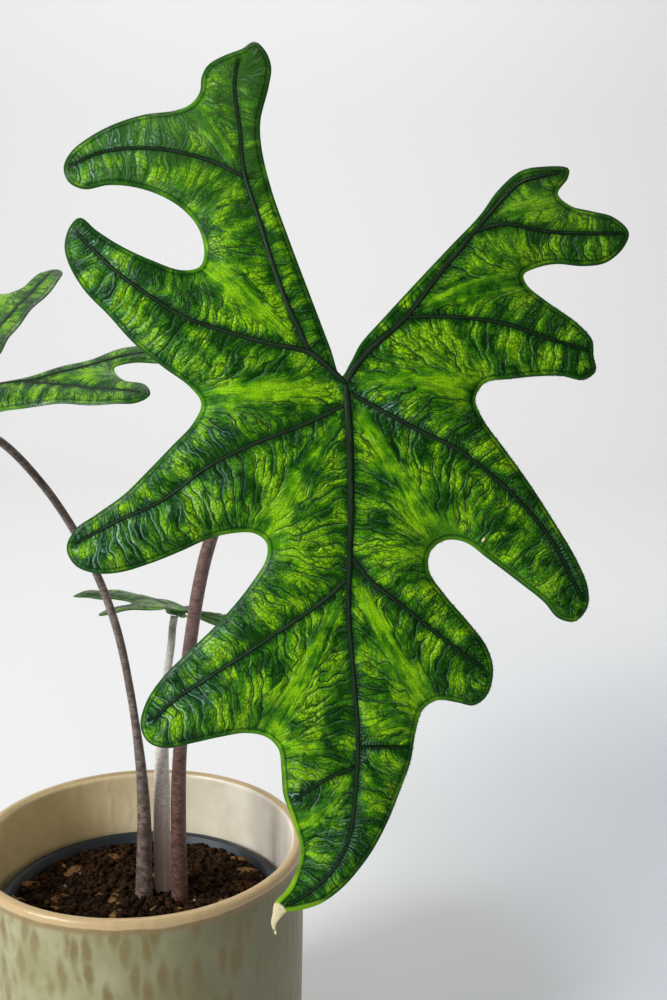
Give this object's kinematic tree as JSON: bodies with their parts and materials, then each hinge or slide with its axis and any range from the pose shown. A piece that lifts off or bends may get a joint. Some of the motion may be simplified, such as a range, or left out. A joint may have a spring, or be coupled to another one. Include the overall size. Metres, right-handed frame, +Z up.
{
  "type": "potted alocasia plant",
  "caption": "Potted alocasia with deeply lobed, quilted leaves on long round stalks, standing in soil in a plastic nursery pot inside a glazed outer pot.",
  "frame": {"origin": "middle of the outer pot's flat underside", "axes": "+Z up along the pot's axis, -Y towards the side that the front leaf faces, +X to the right seen from there"},
  "size_m": [0.3909, 0.2275, 0.4507],
  "materials": {
    "glaze": "satin sage glaze with brown drips, bare tan rim",
    "nursery_plastic": "matt, dark slate",
    "soil": "crumbly dark potting soil with bark chips",
    "stalk_red": "reddish brown mottled stalk, satin",
    "stalk_dark": "grey brown mottled stalk, satin",
    "stalk_pale": "pale pinkish grey stalk, satin",
    "leaf": "glossy quilted leaf, yellow green with near black veins"
  },
  "bodies": {
    "root": {"outer_pot": "glaze", "nursery_pot": "nursery_plastic", "soil": "soil", "petiole_front": "stalk_red", "petiole_left": "stalk_dark", "petiole_back": "stalk_pale", "blade_front": "leaf", "blade_left": "leaf", "blade_back": "leaf"}
  },
  "joints": []
}
